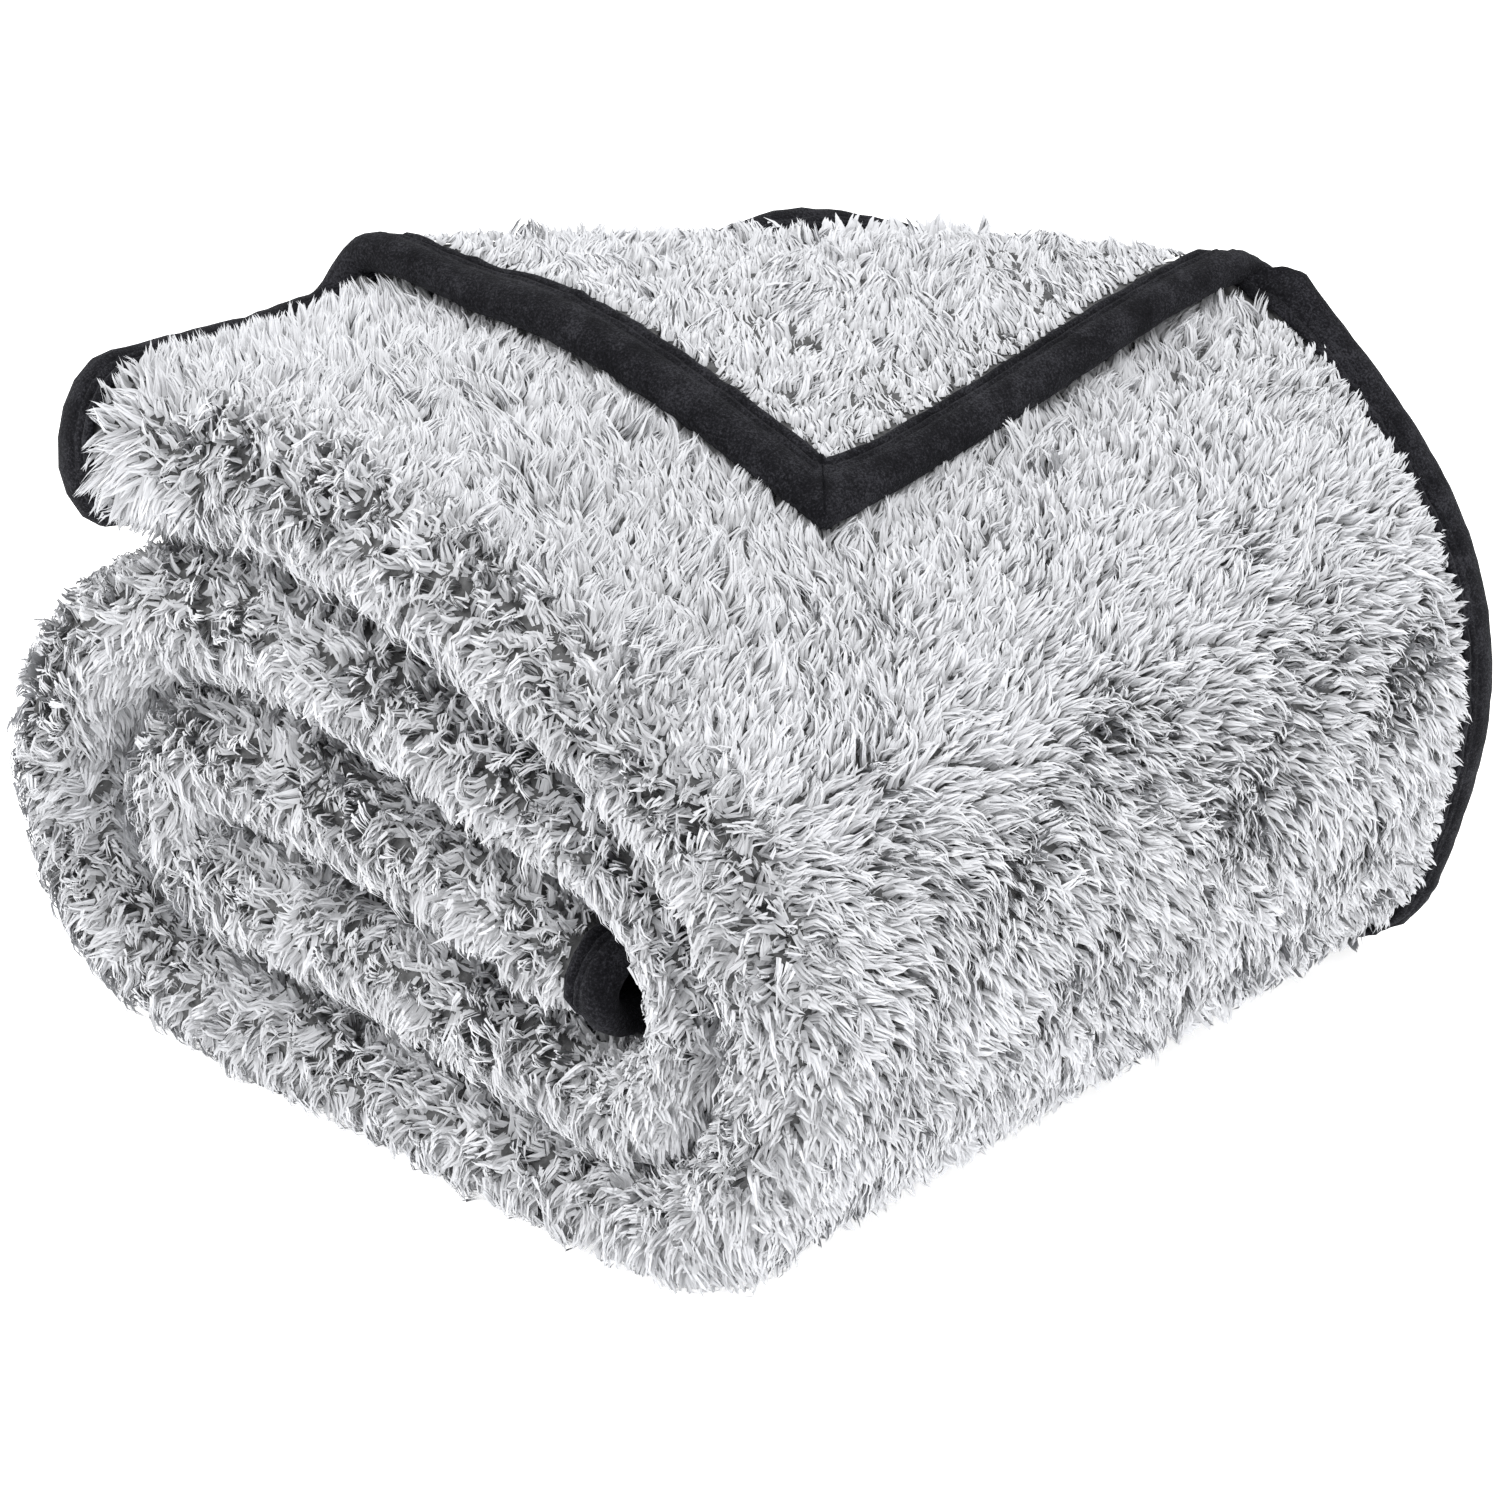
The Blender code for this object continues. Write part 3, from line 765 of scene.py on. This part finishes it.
def lean_over(at, shape, hang, to_end, draw):
    """How each lock leans: with the nap and the swirl of its neighbours, kept to at most 1.5 of its rise.

    Beside the binding it is combed in from it, or leans out over the bound end and over the long edge.
    """
    swirl = waves(at.heart, 0.055, 11) * 0.5 + waves(at.heart, 0.020, 12) * 0.4 + at.own[:, :3] * 0.22
    lean = nap_down(at.heart, at.out) * (shape.lean_by + 0.75 * hang)
    lean = lean + swirl * shape.swirls * (1 - 0.5 * hang) + draw.normal(0, 0.10, (len(at.s), 3))
    inward = folded(at.s + 0.002 * (at.s < 0.06), at.t + 0.002 * (at.t < 0.06), at.depth) - at.root
    edge = at.t if at.face > 0 else np.minimum(at.s + 0.012, at.t)
    near_band = shape.combed * smooth(1.3 - (edge - BAND_WIDTH) / COMBED_OVER)[:, None]
    lean = lean * (1 - 0.6 * near_band) + unit(inward) * near_band * 0.9
    over = unit(folded(np.maximum(at.s - 0.002, 0), at.t, at.depth) - at.root)
    lean = lean * (1 - 0.55 * to_end) + over * 0.36 * to_end
    to_edge = smooth(1.2 - (at.t - BAND_WIDTH) / EDGE_LEAN_OVER)[:, None] * (at.face > 0)
    over = unit(folded(at.s, np.maximum(at.t - 0.002, 0), at.depth) - at.root)
    lean = lean * (1 - 0.4 * to_edge) + over * shape.edging * to_edge
    lean -= at.out * np.sum(lean * at.out, 1, keepdims=True)
    strength = np.linalg.norm(lean, axis=1, keepdims=True)
    return lean / np.maximum(strength, 1e-9) * np.minimum(strength, 1.5)


def lock_reach(at, shape, hang, draw):
    """How long each lock is: shorter beside the binding, inside the inner turn and near the crease."""
    size = shape.reach * (1 + 0.14 * np.clip(at.own[:, 3:4], -1.5, 1.5))
    size = size * draw.uniform(0.86, 1.1, (len(at.s), 1))
    from_band = np.minimum(np.minimum(at.s + 0.010 * (at.face > 0), at.t), S_END - at.s) - BAND_WIDTH
    size = size * (0.62 + 0.38 * smooth(from_band / SHORT_OVER))[:, None]
    inner_turn = (at.s > RUN_ENDS[2] - 0.05) & (at.s < RUN_STARTS[3])
    inside = inner_turn & (at.t > 0.5 * (T_NOSE + T_INNER))
    size = size * np.where(inside, 0.5, 1)[:, None]
    if at.face < 0:
        size = size * (0.8 + 0.2 * smooth((CREASE_LEG - at.s - at.t) / 0.09))[:, None]
    return size * (1 + 0.45 * hang)


def ribbons(at, shape, draw):
    """Each lock's ribbons: points, ribbon by ribbon, and the way each ribbon's face looks.

    A ribbon's middle at share u of its length is its root, plus its spread within the lock, which closes
    as u grows, plus the pull to its clump's heart, its way times its length, a bow that follows a sine,
    and beyond half its length a hook. Its width narrows from rung to rung to a point.
    """
    count, strands = len(at.s), shape.strands
    hang = shape.fringe * smooth(0.45 - at.out[:, 2:3] * 0.9 + at.own[:, 3:4] * 0.12)
    to_end = smooth(1.2 - (at.s - BAND_WIDTH) / END_LEAN_OVER)[:, None] * (at.face > 0)
    lean = lean_over(at, shape, hang, to_end, draw)
    size = lock_reach(at, shape, hang, draw)
    way = unit(at.out * shape.upright * (1 - 0.4 * hang) + lean)
    gather = (at.heart - at.root) * shape.gathered
    curl = unit(np.cross(way, at.own[:, :3] + draw.normal(0, 0.5, (count, 3))))
    curl = curl * size * (1 - 0.6 * hang) * (1 - 0.75 * to_end)
    hook = shape.hook * (1 - to_end)[:, None]
    side = unit(np.cross(at.out, lean + 1e-6))
    across = np.cross(at.out, side)

    angle = draw.uniform(0, 2 * math.pi, (count, strands, 1))
    radius = LOCK_SPREAD * np.sqrt(draw.uniform(0.03, 1, (count, strands, 1)))
    offset = side[:, None] * np.cos(angle) * radius + across[:, None] * np.sin(angle) * radius
    length = draw.uniform(0.70, 1.12, (count, strands, 1))
    stray = draw.normal(0, 0.0006, (count, strands, 3))
    bend = draw.uniform(0.6, 1.4, (count, strands, 1))
    rows = []
    for u in RUNGS:
        grown = size[:, None] * length * u
        closing = 1 - (0.35 + 0.6 * shape.gathered) * u ** 1.6
        place = at.root[:, None] + offset * closing + gather[:, None] * u ** 1.3
        place = place + way[:, None] * grown + at.out[:, None] * grown * 0.42 * (1 - u)
        place = place + curl[:, None] * bend * shape.curl_by * math.sin(math.pi * 1.35 * u) + stray * u
        place = place + (curl - at.out * size)[:, None] * hook * bend * max(0.0, u - 0.5) * 2
        rows.append(place)

    axis = unit(rows[-1] - rows[0])
    flat = unit(np.cross(axis, at.out[:, None] + draw.normal(0, 0.35, (count, strands, 3))))
    flat = flat * shape.width / 2 * draw.uniform(0.75, 1.25, (count, strands, 1))
    shares = (shape.root_width, 1.15, 0.7)
    pairs = [place + flat * share * hand for place, share in zip(rows, shares) for hand in (-1, 1)]
    points = np.stack(pairs + [rows[-1]], axis=2).reshape(-1, 3)
    points[:, 2] = np.maximum(points[:, 2], FLOOR_GAP)
    looks = unit(unit(np.cross(flat, axis)) * (1 - shape.softness) + at.out[:, None] * shape.softness)
    return points, looks.reshape(-1, 3)


def lock_maps(at, shape, draw):
    """The two maps of a patch: place across and up each ribbon, and its lock's tone beside that height."""
    count, strands = len(at.s), shape.strands
    tone = draw.uniform(0, 1, (count, 1)) * 0.3 + draw.uniform(0, 0.3, (count, strands))
    # dim: painted shade, a darker lock tone for the patches whose face the lamps light less
    tone = tone + 0.2 * (1 + np.clip(at.own[:, 4:5], -1, 1)) - shape.dim
    tone = np.repeat(tone, RIBBON_POINTS)
    up = np.tile(np.append(np.repeat(RUNGS[:-1], 2), RUNGS[-1]), count * strands)
    bulge = np.sin(np.clip((at.t - T_NOSE) / NOSE_RADIUS, 0, math.pi)) ** 2
    # lighter: painted light, a paler ribbon tone set per patch for how brightly its face is lit
    up = up + np.repeat(shape.lighter - shape.shade * bulge, strands * RIBBON_POINTS) * (1 - up)
    beside = np.tile([0.0, 1.0, 0.0, 1.0, 0.1, 0.9, 0.5], count * strands)
    beside = beside + np.repeat(draw.uniform(0, 60, count * strands), RIBBON_POINTS)
    return {"flat": np.stack([beside, up], 1), "lock": np.stack([tone, up], 1)}


def locks(name, s, t, face, finish, seed, changes):
    """Pile locks rooted at flat places on one face of the cloth.

    Every strand is a tapered ribbon along a curve: it rises from its root, bends over with the nap and
    the pull of its own weight, and ends in a point. Neighbours share a clump, which sets the way they
    lean and draws their tips together.
    """
    draw = np.random.default_rng(seed)
    shape = SimpleNamespace(**{**LOCKS, **changes})
    at = rooted(s, t, face, shape.clump, draw)
    points, looks = ribbons(at, shape, draw)
    maps = lock_maps(at, shape, draw)
    first = np.arange(len(s) * shape.strands)[:, None] * RIBBON_POINTS
    quads = (first[:, None] + np.array([[0, 1, 3, 2], [2, 3, 5, 4]])).reshape(-1, 4)
    tips = first + np.array([[4, 5, 6]])
    normals = np.repeat(looks, RIBBON_POINTS, axis=0)
    return add_mesh(name, points, [quads, tips], finish, maps, normals)


def clear_of_corner(s, t):
    """True for places on the outer panel that neither turn over with its corner nor lie under it."""
    under = (s < EAR_LEG - 0.022) & (t < EAR_LEG - 0.014)
    return (s + t > CREASE_LEG + 0.012) & ~under


def on_corner(s, t):
    """True for places on the turned corner, clear of its crease and its binding."""
    clear_of_band = s + 0.006 * smooth((t - CREASE_LEG + 0.14) / 0.08) > BAND_WIDTH + RIM_GAP
    return (s + t < CREASE_LEG - 0.006) & clear_of_band


def patches():
    """Each patch of pile: name, face, range of s and of t, spacing, the places it keeps, and its locks."""
    rim = BAND_WIDTH + RIM_GAP
    first, last = RUN_ENDS[0], RUN_STARTS[1]
    middle, low = first + RIGHT_HIGH * (last - first), first + RIGHT_LOW * (last - first)
    corner = (rim - 0.006, CREASE_LEG)
    nose = (T_NOSE - FOLD_LIP, T_INNER + 0.6 * FOLD_LIP)
    far = (T_FAR - FOLD_LIP, T_CENTRE + FOLD_LIP)
    side = (rim - 0.002, T_NOSE)
    left = (RUN_ENDS[1], RUN_STARTS[2] + 0.03)
    under = (T_CENTRE, T_CENTRE + CREASE_LEG)
    return (
        ("pile_top", 1, (rim - 0.0015, first), (rim, T_NOSE), 0.0037, clear_of_corner, TOP_LOCKS),
        ("pile_flap", -1, corner, corner, 0.0035, on_corner, FLAP_LOCKS),
        ("pile_right_high", 1, (first, middle), side, 0.0041, None, RIGHT_LOCKS),
        ("pile_right_low", 1, (middle, low), side, 0.0044, None, RIGHT_LOCKS),
        ("pile_right_under", 1, (low, last), side, 0.0095, None, UNDER_LOCKS),
        ("pile_left", 1, left, (rim, T_NOSE), 0.0085, None, COARSE_LOCKS),
        ("pile_folds_outer", 1, (rim - 0.002, RUN_ENDS[1]), nose, 0.0043, None, FOLD_LOCKS),
        ("pile_folds_middle", 1, (RUN_ENDS[1], RUN_ENDS[2]), nose, 0.0043, None, FOLD_LOCKS),
        ("pile_folds_inner", 1, (RUN_ENDS[2], S_END - rim), nose, 0.0043, None, FOLD_LOCKS),
        ("pile_back", 1, (rim, S_END - rim), far, 0.0085, None, COARSE_LOCKS),
        ("pile_under_corner", 1, (rim, CREASE_LEG), under, 0.0090, None, COARSE_LOCKS),
    )


def pile(finish):
    """The pile on every stretch of cloth that shows, one joined piece for each."""
    draw = np.random.default_rng(21)
    pieces = []
    for name, face, s_range, t_range, spacing, keep, changes in patches():
        s, t = scatter(s_range, t_range, spacing, draw)
        if keep is not None:
            kept = keep(s, t)
            s, t = s[kept], t[kept]
        pieces.append(locks(name, s, t, face, finish, len(pieces) + 40, changes))
    return pieces


# ---------------------------------------------------------------- stage


def look_at(thing, target):
    """Turns a camera or lamp to face a point."""
    thing.rotation_euler = (Vector(target) - thing.location).to_track_quat("-Z", "Y").to_euler()


def camera():
    """The main view: from the corner between the folds and the right turn, a little above."""
    turn, rise = math.radians(VIEW_TURN), math.radians(VIEW_RISE)
    lens = bpy.data.cameras.new("camera")
    eye = bpy.data.objects.new("camera", lens)
    bpy.context.scene.collection.objects.link(eye)
    away = Vector((math.sin(turn) * math.cos(rise), -math.cos(turn) * math.cos(rise), math.sin(rise)))
    eye.location = Vector(VIEW_TARGET) + away * VIEW_DISTANCE
    look_at(eye, VIEW_TARGET)
    lens.sensor_width = 36
    lens.lens = VIEW_LENS
    bpy.context.scene.camera = eye


def lamp(name, place, power):
    """A square soft light that faces the throw."""
    light = bpy.data.lights.new(name, "AREA")
    light.size = LAMP_SIZE
    light.energy = power
    holder = bpy.data.objects.new(name, light)
    bpy.context.scene.collection.objects.link(holder)
    holder.location = place
    look_at(holder, LAMP_TARGET)


def studio():
    """A white floor, a white surround and three soft lights."""
    bpy.ops.mesh.primitive_plane_add(size=FLOOR_SIZE, location=(0, 0, 0))
    floor = bpy.context.object
    floor.name = "floor"
    made, _, shader = new_material("floor")
    shader.inputs["Base Color"].default_value = (0.95, 0.95, 0.95, 1)
    shader.inputs["Roughness"].default_value = 0.9
    shader.inputs["Specular IOR Level"].default_value = 0.0
    shader.inputs["Emission Color"].default_value = (1, 1, 1, 1)
    shader.inputs["Emission Strength"].default_value = FLOOR_GLOW
    floor.data.materials.append(made)
    world = bpy.data.worlds.new("surround")
    bpy.context.scene.world = world
    world.use_nodes = True
    background = world.node_tree.nodes["Background"]
    background.inputs["Color"].default_value = (1, 1, 1, 1)
    background.inputs["Strength"].default_value = SURROUND_GLOW
    for name, place, power in LAMPS:
        lamp(name, place, power)
    bpy.context.scene.view_settings.view_transform = "Standard"


def main():
    """The view and its light, then the cloth, its binding and its pile, all folded alike."""
    camera()
    studio()
    pile_finish = pile_material()
    cloth = ground_cloth(ground_material())
    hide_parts("blanket")
    band = binding(velvet_material())
    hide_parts("binding")
    locks_made = pile(pile_finish)


main()
